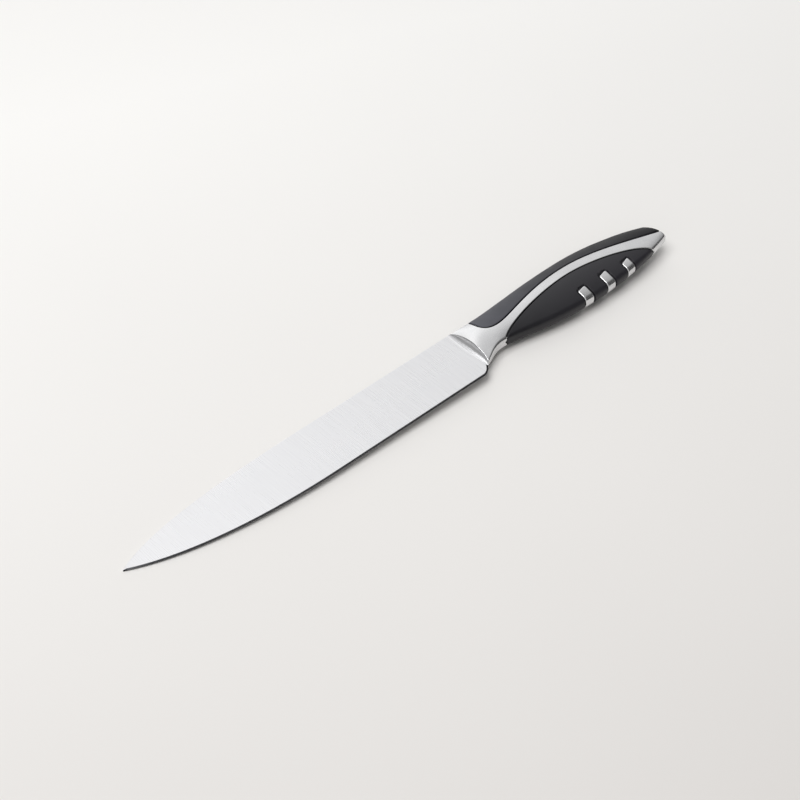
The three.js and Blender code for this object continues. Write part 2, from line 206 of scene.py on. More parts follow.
# Outlines of the handle, its half width at the crown and at the flats, and its seams
TOP = path(
    [(0, BLADE_TOP_Y), (7.75, 11.8), (15.5, 11.8)],
    [(15.5, 11.8), (26.5, 11.8), (41, 14.65), (72, 14.65)],
    [(72, 14.65), (93, 14.65), (112.1, 10.3), (BUTT_X, 2.2)],
)
BELLY = path(
    [(0, HEEL_Y), (5, -12.3), (9.5, -8.6), (15.5, -8.6)],
    [(15.5, -8.6), (26.5, -8.6), (41, -15.9), (72, -15.9)],
    [(72, -15.9), (95, -15.9), (115.2, -12.4), (BUTT_X, BUTT_FOOT_Y)],
)
HALF = catmull([(0, 3.7), (15.5, 4.9), (72, 6.7), (BUTT_X, 3.6)])
FLAT = catmull([(0, 1.2), (15.5, 2.5), (72, 2.5), (BUTT_X, 2.1)])
SPINE_SEAM = path(
    [(12.1, 7.2), (12.1, -0.2), (20.5, -0.2)],
    [(20.5, -0.2), (29.8, -0.2), (46.6, 6.9), (68, 6.9)],
    [(68, 6.9), (89.4, 6.9), (109.4, -1.6), (BUTT_X, -5.05)],
    [(BUTT_X, -5.05), (147.8, -8.5)],
)
BELLY_SEAM = path(
    [(18.2, -8.2), (22.35, -4.95), (47.7, 0.85), (66, 0.85)],
    [(66, 0.85), (84.3, 0.85), (110.9, -6.3), (115.4, -12)],
)
BLADE_SPINE = path(
    [(-BLADE_LENGTH, 0.2), (-184, 8), (-155, BLADE_TOP_Y), (-90, BLADE_TOP_Y)],
    [(-90, BLADE_TOP_Y), (2, BLADE_TOP_Y)],
)
BLADE_EDGE = path(
    [(-BLADE_LENGTH, -0.2), (-178, -11.7), (-140, EDGE_Y), (-95, EDGE_Y)],
    [(-95, EDGE_Y), (-6, EDGE_Y)],
    [(-6, EDGE_Y), (-3, EDGE_Y), (HEEL_X, HEEL_Y)],
)
# Radius of the handle's edges along x
EDGE_ROUND = np.array(
    [(0, 0.9), (8, 1.4), (19, 2.0), (36, 3.4), (102, 3.4), (115, 2.0), (BUTT_X, 1.5)]
)


def along(curve, x):
    """A curve's second coordinate at x."""
    return np.interp(x, curve[:, 0], curve[:, 1])


def ridge(y):
    """The x of the bolster's front edge."""
    v = np.clip((y - RIDGE_MIDDLE_Y) / RIDGE_REACH, -1, 1)
    return RIDGE_X + RIDGE_BULGE * np.sqrt(1 - v * v)


BUTT_TOP_Y = float(along(TOP, BUTT_TOP_AT))


def butt_end(y):
    """The x of the handle's leaning, slightly rounded end."""
    rise = y - BUTT_FOOT_Y
    v = np.clip(2 * rise / (BUTT_TOP_Y - BUTT_FOOT_Y) - 1, -1, 1)
    return BUTT_X - math.tan(BUTT_LEAN) * rise - BUTT_ROUND * (1 - np.sqrt(1 - v * v))


def outline(x):
    """The handle's lower and upper line, and half its width at the crown and at the flats."""
    return along(BELLY, x), along(TOP, x), along(HALF, x), along(FLAT, x)


def measures(x):
    """What the handle's section is made of: y1 and y2 are where the side meets the edge rounds."""
    low, high, half, flat = outline(x)
    reach = (high - low) / 2
    edge = along(EDGE_ROUND, x)
    lean = np.arctan(2 * (half - flat) / reach)
    for _ in range(LEAN_STEPS):
        lean = np.arctan(2 * (half - flat) / (reach + edge * (1 - np.sin(lean))))
    turn = math.pi / 2 - lean
    cut = edge * np.tan(turn / 2)
    y1 = low + cut * np.cos(lean)
    y2 = high - cut * np.cos(lean)
    return low, high, flat, lean, turn, edge, cut, y1, y2


def section(x, q):
    """A point of the handle's skin at x and q."""
    low, high, flat, lean, turn, edge, cut, y1, y2 = measures(x)
    ys = y1 + (y2 - y1) * (q - SIDE_Q)
    zs = flat + np.tan(lean) * (y1 - low + (ys - y1) * (y2 - ys) / (y2 - y1))
    a = (q - BELLY_EDGE_Q) * turn
    b = (SPINE_EDGE_Q - q) * turn
    picks = [q <= BELLY_EDGE_Q, q <= SIDE_Q, q <= SIDE_Q + 1, q <= SPINE_EDGE_Q]
    y = np.select(
        picks, [low, low + edge * (1 - np.cos(a)), ys, high - edge * (1 - np.cos(b))], high
    )
    z = np.select(
        picks,
        [q * (flat - cut), flat - cut + edge * np.sin(a), zs, flat - cut + edge * np.sin(b)],
        (LAST_Q - q) * (flat - cut),
    )
    return np.stack([x + 0 * q, y, z], axis=-1)


def place(x, y):
    """The q at which the skin passes a height y on the side."""
    low, high, _, _, turn, edge, _, y1, y2 = measures(x)
    a = np.arccos(np.clip(1 - (y - low) / edge, -1, 1))
    b = np.arccos(np.clip(1 - (high - y) / edge, -1, 1))
    return np.select(
        [y <= low, y < y1, y <= y2, y < high],
        [
            BELLY_EDGE_Q + 0 * x,
            BELLY_EDGE_Q + a / turn,
            SIDE_Q + (y - y1) / (y2 - y1),
            SPINE_EDGE_Q - b / turn,
        ],
        SPINE_EDGE_Q,
    )


def lengths(x):
    """How long each of the skin's five stretches is, across the handle."""
    low, high, flat, lean, turn, edge, cut, _, _ = measures(x)
    side = high - low - 2 * cut * np.cos(lean)
    return flat - cut, edge * turn, side, edge * turn, flat - cut


def unroll(x, q):
    """The length along the skin from q 0 to q."""
    return sum(np.clip(q - k, 0, 1) * part for k, part in enumerate(lengths(x)))


def reroll(x, w):
    """The q at a length along the skin."""
    q = 0 * w
    for part in lengths(x):
        q = q + np.clip(w / part, 0, 1)
        w = w - part
    return q


def outward(x, q):
    """The skin's unit normal."""
    step = 1e-3
    up = np.clip(q + step, 0, LAST_Q)
    down = np.clip(q - step, 0, LAST_Q)
    dq = section(x, up) - section(x, down)
    dx = section(x + step, q) - section(x - step, q)
    n = np.cross(dx, dq)
    return n / np.maximum(np.linalg.norm(n, axis=-1, keepdims=True), 1e-12)


def step_lengths(curve):
    return np.linalg.norm(np.diff(curve, axis=0), axis=1)


def shifted(curve, distance):
    """A plane curve moved sideways."""
    d = np.gradient(curve, axis=0)
    d = d / np.linalg.norm(d, axis=1, keepdims=True)
    return curve + distance * np.stack([-d[:, 1], d[:, 0]], axis=1)


def curve_at(curve, t):
    """Points of a curve at shares of its length."""
    steps = np.concatenate([[0], np.cumsum(step_lengths(curve))])
    columns = range(curve.shape[1])
    return np.stack([np.interp(t * steps[-1], steps, curve[:, k]) for k in columns], axis=1)


def resample(curve, count):
    """Evenly spaced points of a curve."""
    steps = np.concatenate([[0], np.cumsum(step_lengths(curve))])
    t = np.linspace(0, steps[-1], count)
    return np.stack([np.interp(t, steps, curve[:, k]) for k in range(curve.shape[1])], axis=1)


def distance_to(points, line):
    tree = KDTree(len(line))
    for i, p in enumerate(line):
        tree.insert(p, i)
    tree.balance()
    flat = points.reshape(-1, 3)
    return np.array([tree.find(p)[2] for p in flat]).reshape(points.shape[:-1])


def roll(d, radius):
    """How deep a rounded edge drops at a distance from the edge."""
    inside = np.clip(radius - d, 0, radius)
    return radius - np.sqrt(np.maximum(radius * radius - inside * inside, 0))


def mirrored(line):
    return np.concatenate([line, line * MIRROR])


def spread(start, stop, count, ends=(True, True)):
    """Numbers from start to stop, close together at the ends that are named."""
    span = stop - start
    fine = FINE_STEPS[FINE_STEPS < abs(span) * FINE_SHARE] * np.sign(span)
    first = start + fine if ends[0] else np.array([start])
    final = stop - fine[::-1] if ends[1] else np.array([stop])
    inner = np.linspace(first[-1], final[0], count + 2)[1:-1]
    return np.concatenate([first, inner, final])


class Skin:
    """Collects grids of points into one mesh and welds what coincides."""

    def __init__(self):
        self.points = []
        self.faces = []

    def grid(self, p, flip=False):
        rows, cols = p.shape[:2]
        base = len(self.points)
        self.points.extend(p.reshape(-1, 3).tolist())
        for i in range(rows - 1):
            for j in range(cols - 1):
                a = base + i * cols + j
                quad = (a, a + cols, a + cols + 1, a + 1)
                self.faces.append(quad[::-1] if flip else quad)

    def both(self, p):
        """A grid and its mirror image on the far side."""
        self.grid(p)
        self.grid(p * MIRROR, flip=True)

    def across(self, row, steps, flip=False):
        """A strip from a row of points to its mirror image."""
        t = np.linspace(0, 1, steps + 1)[:, None, None]
        self.grid(row[None] * (1 - t) + (row * MIRROR)[None] * t, flip)

    def welded(self):
        index, points, remap = {}, [], []
        for p in self.points:
            key = tuple(round(value, WELD_DIGITS) for value in p)
            if key not in index:
                index[key] = len(points)
                points.append(p)
            remap.append(index[key])
        faces = []
        for face in self.faces:
            ring = []
            for k in face:
                if remap[k] not in ring:
                    ring.append(remap[k])
            if len(ring) > 2:
                faces.append(ring)
        return points, faces


# How the knife lies: it rests on the tip and on the bulge of the handle's side.
REST_STEPS = 2000
RUN = np.linspace(0, BUTT_X, REST_STEPS)
PITCH = math.atan(float(np.max((along(HALF, RUN) - TIP_HALF) / (RUN + BLADE_LENGTH))))
blade_low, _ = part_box("blade")
TIP_X = -BLADE_LENGTH * math.cos(PITCH) - TIP_HALF * math.sin(PITCH)
OFFSET = (
    blade_low[0] / MM - TIP_X,
    blade_low[1] / MM - EDGE_Y,
    BLADE_LENGTH * math.sin(PITCH) + TIP_HALF * math.cos(PITCH),
)


def to_row(points):
    """Points of the knife's own frame as metres of the shared frame."""
    p = np.array(points, dtype=float)
    x = p[:, 0] * math.cos(PITCH) - p[:, 2] * math.sin(PITCH) + OFFSET[0]
    z = p[:, 0] * math.sin(PITCH) + p[:, 2] * math.cos(PITCH) + OFFSET[2]
    return np.stack([x, p[:, 1] + OFFSET[1], z], axis=1) * MM


def piece(name, skin, material, node, shell=SHELL, crease=CREASE):
    points, faces = skin.welded()
    mesh = bpy.data.meshes.new(name)
    mesh.from_pydata(to_row(points).tolist(), [], faces)
    mesh.update()
    mesh.shade_smooth()
    mesh.set_sharp_from_angle(angle=math.radians(crease))
    mesh.materials.append(material)
    obj = bpy.data.objects.new(name, mesh)
    bpy.context.scene.collection.objects.link(obj)
    if shell:
        wall = obj.modifiers.new("wall", "SOLIDIFY")
        wall.thickness = shell * MM
        wall.offset = -1
        wall.use_rim = True
    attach(obj, "root")
    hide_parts(node)
    return obj


# Materials

# The part of its range in which most of a noise lies
NOISE_LOW, NOISE_HIGH = 0.3, 0.7
GROUND_LINES = (2600, 26, 26)


def fill_ramp(ramp, stops):
    while len(ramp.elements) < len(stops):
        ramp.elements.new(0.5)
    for element, (position, colour) in zip(ramp.elements, stops):
        element.position = position
        element.color = (*colour, 1)


class Nodes:
    """Small helper for a material's node tree."""

    def __init__(self, name):
        self.material = bpy.data.materials.new(name)
        self.material.use_nodes = True
        self.tree = self.material.node_tree
        self.shader = self.tree.nodes["Principled BSDF"]

    def add(self, kind, inputs=(), **settings):
        node = self.tree.nodes.new(kind)
        for key, value in settings.items():
            setattr(node, key, value)
        for key, value in dict(inputs).items():
            self.feed(node.inputs[key], value)
        return node

    def feed(self, socket, value):
        if isinstance(value, bpy.types.NodeSocket):
            self.tree.links.new(value, socket)
        else:
            socket.default_value = value

    def coords(self, scale):
        source = self.add("ShaderNodeTexCoord").outputs["Object"]
        mapping = self.add("ShaderNodeMapping", {"Vector": source, "Scale": scale})
        return mapping.outputs["Vector"]

    def noise(self, scale, detail, rough=0.5):
        node = self.add(
            "ShaderNodeTexNoise",
            {"Vector": self.coords(scale), "Scale": 1.0, "Detail": detail, "Roughness": rough},
        )
        return node.outputs["Fac"]

    def ramp(self, value, stops):
        node = self.add("ShaderNodeValToRGB", {"Fac": value})
        fill_ramp(node.color_ramp, stops)
        return node.outputs["Color"]

    def shades(self, noise, dark, pale):
        return self.ramp(noise, [(NOISE_LOW, dark), (NOISE_HIGH, pale)])

    def span(self, value, low, high, start=NOISE_LOW, stop=NOISE_HIGH):
        node = self.add(
            "ShaderNodeMapRange",
            {"Value": value, "From Min": start, "From Max": stop, "To Min": low, "To Max": high},
        )
        return node.outputs["Result"]

    def mix(self, a, b, amount):
        inputs = {"Factor": amount, "A": a, "B": b}
        return self.add("ShaderNodeMix", inputs, data_type="FLOAT").outputs["Result"]

    def bump(self, height, strength, distance):
        inputs = {"Height": height, "Strength": strength, "Distance": distance}
        return self.add("ShaderNodeBump", inputs).outputs["Normal"]

    def out(self, colour, rough, metal=0.0, normal=None):
        self.feed(self.shader.inputs["Base Color"], colour)
        self.feed(self.shader.inputs["Roughness"], rough)
        self.feed(self.shader.inputs["Metallic"], metal)
        if normal is not None:
            self.feed(self.shader.inputs["Normal"], normal)
        return self.material


def blade_steel():
    """Satin steel with grinding lines across the blade, which scatter a little light."""
    n = Nodes("satin_steel")
    lines = n.noise(GROUND_LINES, detail=3, rough=0.6)
    fine = n.noise((7000, 60, 60), detail=1)
    cloud = n.noise((28, 60, 60), detail=3)
    both = n.mix(lines, fine, 0.4)
    colour = n.shades(both, (0.70, 0.70, 0.715), (0.80, 0.80, 0.81))
    rough = n.span(n.mix(both, cloud, 0.35), 0.24, 0.34)
    return n.out(colour, rough, metal=0.78, normal=n.bump(both, 0.09, 0.00004))


def bevel_painted_shade():
    """The cutting bevel, coloured near black: a painted shade along the edge."""
    n = Nodes("bevel_painted_shade")
    lines = n.noise(GROUND_LINES, detail=3, rough=0.6)
    colour = n.shades(lines, (0.03, 0.03, 0.032), (0.055, 0.055, 0.058))
    return n.out(colour, n.span(lines, 0.22, 0.34), metal=1.0)


def frame_steel():
    """Polished steel with faint polishing lines and smudges."""
    n = Nodes("polished_steel")
    lines = n.noise((260, 2600, 2600), detail=2)
    smudge = n.noise((90, 130, 130), detail=3)
    colour = n.shades(smudge, (0.66, 0.66, 0.67), (0.73, 0.73, 0.735))
    rough = n.span(n.mix(smudge, lines, 0.4), 0.13, 0.24)
    return n.out(colour, rough, metal=0.9, normal=n.bump(lines, 0.05, 0.00003))


def black_plastic(name, front, rear, gloss):
    """Moulded plastic with a fine grain, whose colour changes from the front to the rear; on the
    spine grip this change is a painted sheen.
    """
    front_x, rear_x = 0.045, 0.15
    n = Nodes(name)
    grain = n.noise((2200, 2200, 2200), detail=2)
    broad = n.noise((120, 120, 120), detail=3)
    split = n.add("ShaderNodeSeparateXYZ", {"Vector": n.coords((1, 1, 1))})
    far = n.span(split.outputs["X"], 0, 1, front_x, rear_x)
    between = [(f + 2 * r) / 3 for f, r in zip(front, rear)]
    stops = [(0.06, front), (0.45, between), (0.9, rear)]
    colour = n.ramp(n.mix(far, broad, 0.12), stops)
    rough = n.span(n.mix(grain, broad, 0.5), 0.34, 0.5)
    n.shader.inputs["Specular IOR Level"].default_value = gloss
    return n.out(colour, rough, normal=n.bump(grain, 0.12, 0.00005))


def pin_steel():
    """Turned steel with fine rings."""
    n = Nodes("pin_steel")
    rings = n.noise((400, 400, 5200), detail=2)
    colour = n.shades(rings, (0.6, 0.6, 0.61), (0.72, 0.72, 0.73))
    rough = n.span(rings, 0.25, 0.4)
    return n.out(colour, rough, metal=1.0, normal=n.bump(rings, 0.1, 0.00004))


BLADE_STEEL = blade_steel()
BEVEL_PAINTED_SHADE = bevel_painted_shade()
FRAME_STEEL = frame_steel()
# The spine grip is painted paler and bluer at the front and near black at the rear: a painted
# sheen.
SPINE_BLACK = black_plastic(
    "spine_plastic_painted_sheen", (0.087, 0.088, 0.103), (0.005, 0.0045, 0.0065), gloss=0.25
)
BELLY_BLACK = black_plastic(
    "belly_plastic", (0.0062, 0.0060, 0.0078), (0.0205, 0.0195, 0.0240), gloss=0.4
)
PIN_STEEL = pin_steel()

# Shared curves of the seams and bands


def crossing(curve, sign):
    """Where a seam meets the belly's line, from the front (1) or from the rear (-1)."""
    over = curve[:, 1] > along(BELLY, curve[:, 0])
    k = np.argmax(over) if sign > 0 else len(over) - 1 - np.argmax(over[::-1])
    other = k - sign
    if other < 0 or other >= len(curve):
        return float(curve[k, 0]), k
    a, b = curve[other], curve[k]
    ga = a[1] - along(BELLY, a[0])
    gb = b[1] - along(BELLY, b[0])
    t = ga / (ga - gb)
    return float(a[0] + (b[0] - a[0]) * t), k


def seam_run(curve):
    """The stretch of a belly seam that lies on the handle, as (x, y)."""
    front, i = crossing(curve, 1)
    rear, k = crossing(curve, -1)
    first = [[front, float(along(BELLY, front))]]
    final = [[rear, float(along(BELLY, rear))]]
    return np.concatenate([first, curve[i : k + 1], final])


def to_butt(curve):
    """A spine seam, cut off where it leaves the butt."""
    over = curve[:, 0] > butt_end(curve[:, 1])
    k = int(np.argmax(over))
    a, b = curve[k - 1], curve[k]
    ga = a[0] - butt_end(a[1])
    gb = b[0] - butt_end(b[1])
    return np.concatenate([curve[:k], [a + (b - a) * ga / (ga - gb)]])


# Each seam is a gap: the grips end at its inner line, the frame at its outer line
BELLY_INNER = seam_run(shifted(BELLY_SEAM, -SEAM_HALF))
BELLY_OUTER = seam_run(shifted(BELLY_SEAM, SEAM_HALF))
SPINE_INNER = to_butt(shifted(SPINE_SEAM, SEAM_HALF))
SPINE_OUTER = to_butt(shifted(SPINE_SEAM, -SEAM_HALF))


def band_lean(y):
    """How far a band's middle has moved along the handle at a height y."""
    return BAND_LEAN * (BAND_PIVOT_Y - y)


def seam_line(run):
    """A seam on the side as points of the skin, close together."""
    run = resample(run, SEAM_POINTS)
    return section(run[:, 0], place(run[:, 0], run[:, 1]))


def over_spine(x, q):
    """A line across the skin from q to the middle of the spine."""
    q = np.linspace(q, LAST_Q, OVER_SPINE_POINTS)
    return section(np.full(len(q), float(x)), q)


def rear_round(rear, q):
    """The belly grip's rear end, which bulges from the belly's edge (q 1) to its middle (q 0)."""
    return rear + REAR_BULGE * (1 - q) ** 2 * (1 + 2 * q)


def front_round(front, q):
    """The belly grip's front end, bulging in the same way."""
    return front - FRONT_BULGE * (1 - q) ** 2 * (1 + 2 * q)


def end_line(shape, x):
    q = np.linspace(0, 1, END_POINTS)
    return section(shape(x, q), q)


def belly_rim(run):
    """The whole edge of the belly grip on one side."""
    front, rear = run[0, 0], run[-1, 0]
    return np.concatenate(
        [seam_line(run), end_line(front_round, front), end_line(rear_round, rear)]
    )


# The pieces


def belly_grip():
    run = BELLY_INNER
    front, rear = run[0, 0], run[-1, 0]
    x = np.concatenate(
        [
            spread(front - FRONT_BULGE, front, BULGE_ROWS)[:-1],
            spread(front, rear, BELLY_ROWS),
            spread(rear, rear + REAR_BULGE, BULGE_ROWS)[1:],
        ]
    )
    reach = BAND_WIDTH / 2 + BAND_GAP
    walls, marks, ends = [], [], []
    for _, middle, end_y in BANDS:
        for side in (-1, 1):
            walls += [middle + side * (reach + d) for d in GROOVE_STEPS]
            marks.append(middle + side * reach)
            ends.append(end_y + BAND_GAP + side * reach * BAND_SLOPE)
    x = np.unique(np.round(np.concatenate([x, walls]), WELD_DIGITS))

    # columns gather at the seam and at the upper ends of the grooves
    bulge = np.clip(np.maximum((x - rear) / REAR_BULGE, (front - x) / FRONT_BULGE), 0, 1)
    under = 0.5 + np.sin(np.arcsin(1 - 2 * bulge) / 3)
    on_side = (x >= front) & (x <= rear)
    seam = np.where(on_side, place(x, along(run, x)), under)
    most, least = 0.6, 0.3
    below = np.where(seam > 1, 1 + (seam - 1) * most, seam * most)
    notch = np.minimum(place(x, np.interp(x, marks, ends)), below)
    notch = np.maximum(notch, seam * least)
    q = np.concatenate(
        [
            notch[:, None] * LOWER_COLS[None, :],
            notch[:, None] + (seam - notch)[:, None] * UPPER_COLS[None, :],
        ],
        axis=1,
    )

    # rows lean with the bands
    xs = np.repeat(x[:, None], q.shape[1], axis=1)
    near, far = 1, 8
    stations = [marks[0] - far, marks[0] - near, marks[-1] + near, marks[-1] + far]
    share = np.interp(x, stations, [0, 1, 1, 0])
    hold = np.concatenate([np.ones(len(LOWER_COLS)), (1 - UPPER_COLS) ** 2])
    xs = xs + share[:, None] * hold[None, :] * band_lean(section(xs, q)[..., 1])

    p = section(xs, q)
    drop = roll(distance_to(p, mirrored(belly_rim(run))), SEAM_ROLL)
    for _, middle, end_y in BANDS:
        u = xs - middle - band_lean(p[..., 1])
        dx = np.abs(u) - (BAND_WIDTH / 2 - BAND_CORNER)
        dy = p[..., 1] - (end_y - BAND_CORNER) - BAND_SLOPE * np.clip(u, -reach, reach)
        outside = np.hypot(np.maximum(dx, 0), np.maximum(dy, 0))
        outside = outside + np.minimum(np.maximum(dx, dy), 0)
        outside = outside - BAND_CORNER - BAND_GAP
        groove = np.where(outside > 0, roll(outside, GROOVE_ROLL), GROOVE_DEPTH)
        drop = np.maximum(drop, groove)
    skin = Skin()
    skin.both(p - outward(xs, q) * drop[..., None])

    # the moulded core behind the seams
    rows = np.linspace(CORE_FRONT, CORE_REAR, CORE_ROWS)
    cols = np.linspace(0, LAST_Q, CORE_COLS)
    xs, q = np.meshgrid(rows, cols, indexing="ij")
    skin.both(section(xs, q) - outward(xs, q) * CORE_DEPTH)
    piece("belly_grip_piece", skin, BELLY_BLACK, "belly_grip")


def spine_grip():
    run = SPINE_INNER
    front, last = run[0, 0], run[-1, 0]
    x = spread(front, last, SPINE_ROWS)
    seam = unroll(x, place(x, along(run, x)))
    whole = unroll(x, np.full_like(x, LAST_Q))
    xs = np.repeat(x[:, None], len(SPINE_COLS), axis=1)
    q = reroll(xs, seam[:, None] + (whole - seam)[:, None] * SPINE_COLS[None, :])

    # the rear follows the rounded butt
    tail = 20
    share = np.clip((xs - (last - tail)) / tail, 0, 1)
    xs = xs + share * (butt_end(section(xs, q)[..., 1]) - last)

    p = section(xs, q)
    rim = np.concatenate([seam_line(run), over_spine(front, q[0, 0])])
    drop = roll(distance_to(p, mirrored(rim)), SEAM_ROLL)
    butt = mirrored(resample(p[-1], BUTT_POINTS))
    drop = np.maximum(drop, roll(distance_to(p, butt), BUTT_ROLL))
    p = p - outward(xs, q) * drop[..., None]
    skin = Skin()
    skin.both(p)
    skin.across(p[-1], WRAP_STEPS)
    piece("spine_grip_piece", skin, SPINE_BLACK, "spine_grip")


def handle_frame():
    low_run, high_run = BELLY_OUTER, SPINE_OUTER
    front, rear, corner = low_run[0, 0], low_run[-1, 0], high_run[0, 0]
    low_end = float(butt_end(along(BELLY, BUTT_LOW_AT)))
    start = RIDGE_X + RIDGE_GAP

    def on_side(curve, t):
        x, y = curve_at(curve, t).T
        return np.stack([x, unroll(x, place(x, y))], axis=1)

    def under(x, q):
        return np.stack([x, unroll(x, q)], axis=1)

    # rows of the strap start on a low line in five runs: the neck, the grip's front end, its seam,
    # its rear end and the butt; they end on the spine seam, between these shares of its length
    steps = step_lengths(high_run)
    seam_length = float(np.sum(steps))
    nearest = int(np.argmin(np.abs(high_run[:, 0] - rear)))
    above_rear = float(np.sum(steps[:nearest])) / seam_length
    marks = [
        0,
        NECK_ON_SEAM / seam_length,
        FRONT_ON_SEAM / seam_length,
        above_rear,
        above_rear + REAR_ON_SEAM * (1 - above_rear),
        1,
    ]
    percent = 100
    neck_rows = spread(corner, front - FRONT_BULGE, NECK_ROWS, ends=(False, True))
    front_rows = np.linspace(0, 1, END_ROWS)[1:]
    seam_rows = spread(0, percent, SEAM_ROWS)[1:] / percent
    rear_rows = np.linspace(1, 0, END_ROWS)[1:]
    butt_rows = spread(rear + REAR_BULGE, low_end, BUTT_ROWS)[1:]
    runs = [
        (neck_rows, lambda v: under(v, 0.0 * v)),
        (front_rows, lambda v: under(front_round(front, v), v)),
        (seam_rows, lambda v: on_side(low_run, v)),
        (rear_rows, lambda v: under(rear_round(rear, v), v)),
        (butt_rows, lambda v: under(v, 0.0 * v)),
    ]
    lows, highs = [], []
    for (values, curve), m0, m1 in zip(runs, marks, marks[1:]):
        row = curve(values)
        if lows:
            steps = np.cumsum(step_lengths(np.concatenate([lows[-1][-1:], row])))
            t = steps / steps[-1]
        else:
            t = (values - values[0]) / (values[-1] - values[0])
        lows.append(row)
        highs.append(on_side(high_run, m0 + (m1 - m0) * t))
    low, high = np.concatenate(lows), np.concatenate(highs)
    cols = STRAP_COLS[None, :, None]
    grid = low[:, None, :] * (1 - cols) + high[:, None, :] * cols
    xs = grid[..., 0].copy()
    q = reroll(xs, grid[..., 1])

    # the rear follows the rounded butt
    tail = len(lows[-1])
    share = np.zeros(len(low))
    share[-tail:] = np.linspace(0, 1, tail) ** BUTT_FADE
    xs = xs + share[:, None] * (butt_end(section(xs, q)[..., 1]) - xs)[-1:, :]
    strap = (xs, q)
    corner_q = float(q[0, -1])

    # the bolster, whose front follows the ridge
    x = spread(start, corner, BOLSTER_ROWS)
    seam_w = high[0, 1]
    top_w = float(unroll(np.array([corner]), np.array([float(LAST_Q)]))[0])
    above = seam_w + (top_w - seam_w) * BOLSTER_COLS
    q_row = np.concatenate([q[0], reroll(np.full_like(above, corner), above)])
    q = np.repeat(q_row[None, :], len(x), axis=0)
    xs = np.repeat(x[:, None], len(q_row), axis=1)
    fade = np.clip(1 - (xs - start) / RIDGE_FADE, 0, 1) ** 2
    xs = xs + fade * (ridge(section(xs, q)[..., 1]) + RIDGE_GAP - start)
    bolster = (xs, q)

    spine_rim = np.concatenate([seam_line(high_run), over_spine(corner, corner_q)])
    rims = [
        (belly_rim(low_run), SEAM_ROLL),
        (spine_rim, SEAM_ROLL),
        (resample(section(*bolster)[0], RIDGE_POINTS), RIDGE_ROLL),
        (resample(section(*strap)[-1], BUTT_POINTS), BUTT_ROLL),
    ]
    skin = Skin()
    for xs, q in (bolster, strap):
        p = section(xs, q)
        drop = np.zeros(q.shape)
        for line, radius in rims:
            drop = np.maximum(drop, roll(distance_to(p, mirrored(line)), radius))
        p = p - outward(xs, q) * drop[..., None]
        skin.both(p)
    skin.across(p[-1], WRAP_STEPS)
    piece("handle_frame_piece", skin, FRAME_STEEL, "handle_frame")


def band(node, middle, end_y):
    reach = BAND_WIDTH / 2
    u = spread(-reach, reach, BAND_ROWS)
    y0 = float(along(BELLY, middle))
    last_under = 0.96
    under = np.linspace(0, last_under, BAND_UNDER_COLS)
    heights = y0 + spread(0, end_y - y0, BAND_SIDE_COLS, ends=(False, True))
    qs = np.concatenate([under, place(np.full_like(heights, middle), heights)])[None, :]
    ys = np.concatenate([np.full(len(under), y0), heights])

    # the upper end has rounded corners and slopes
    inset = np.clip(BAND_CORNER - (end_y - ys), 0, BAND_CORNER)
    corner = BAND_CORNER - np.sqrt(np.maximum(BAND_CORNER**2 - inset**2, 0))
    width = 1 - corner / reach
    xs = middle + u[:, None] * width[None, :] + band_lean(ys)[None, :]
    climb = np.clip((ys - y0) / (end_y - y0), 0, 1) ** 2
    slant = BAND_SLOPE * u[:, None] * climb[None, :]
    q = np.where(qs < 1, qs, place(xs, along(BELLY, xs) + (ys - y0)[None, :] + slant))

    p = section(xs, q)
    sides = [resample(line, BAND_SIDE_POINTS) for line in (p[0], p[-1])]
    rim = np.concatenate([*sides, resample(p[:, -1], BAND_END_POINTS)])
    drop = roll(distance_to(p, mirrored(rim)), BAND_ROLL) - BAND_PROUD
    skin = Skin()
    skin.both(p - outward(xs, q) * drop[..., None])
    piece(node + "_piece", skin, FRAME_STEEL, node)


def blade_half(x, y):
    return BLADE_HALF + BLADE_TAPER_Y * y + BLADE_TAPER_X * x


def handle_half(x, y):
    """Half the handle's width at the ridge."""
    low, high, half, flat = outline(x)
    reach = (high - low) / 2
    v = np.clip((y - (low + high) / 2) / reach, -1, 1)
    return flat + (half - flat) * (1 - v * v)


